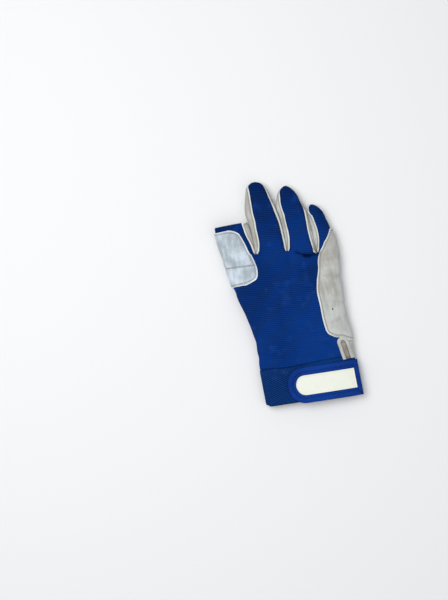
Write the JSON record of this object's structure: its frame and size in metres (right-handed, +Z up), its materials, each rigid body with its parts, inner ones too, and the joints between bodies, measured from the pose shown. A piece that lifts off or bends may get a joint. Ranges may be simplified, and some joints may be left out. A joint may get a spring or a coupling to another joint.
{
  "type": "rigger glove",
  "caption": "Right-hand work glove with cut-off thumb and index finger, cloth back, leather palm and patches, and a wrist strap, lying palm down.",
  "frame": {"origin": "middle of the glove's footprint, on the surface it lies on", "axes": "+X across the hand towards the little finger, +Y from the cuff to the fingertips, +Z up through the back"},
  "size_m": [0.1242, 0.2378, 0.024],
  "materials": {
    "cloth": "woven, matt, deep blue",
    "binding": "folded stretch binding, blue",
    "leather": "soft cream split leather",
    "pale_leather": "pale blue-grey leather",
    "rubber": "matt cream-white rubber"
  },
  "bodies": {
    "root": {"back_panel": "cloth", "thumb_insert": "cloth", "cuff_band": "cloth", "strap": "cloth", "strap_binding": "binding", "strap_patch": "rubber", "palm_panel": "leather", "fourchette_index_middle": "leather", "fourchette_middle_ring": "leather", "fourchette_ring_little": "leather", "side_patch": "leather", "palm_patch": "leather", "middle_strip": "leather", "ring_strip": "leather", "little_strip": "leather", "thumb": "leather", "vent_binding": "leather", "index_patch": "pale_leather"}
  },
  "joints": []
}
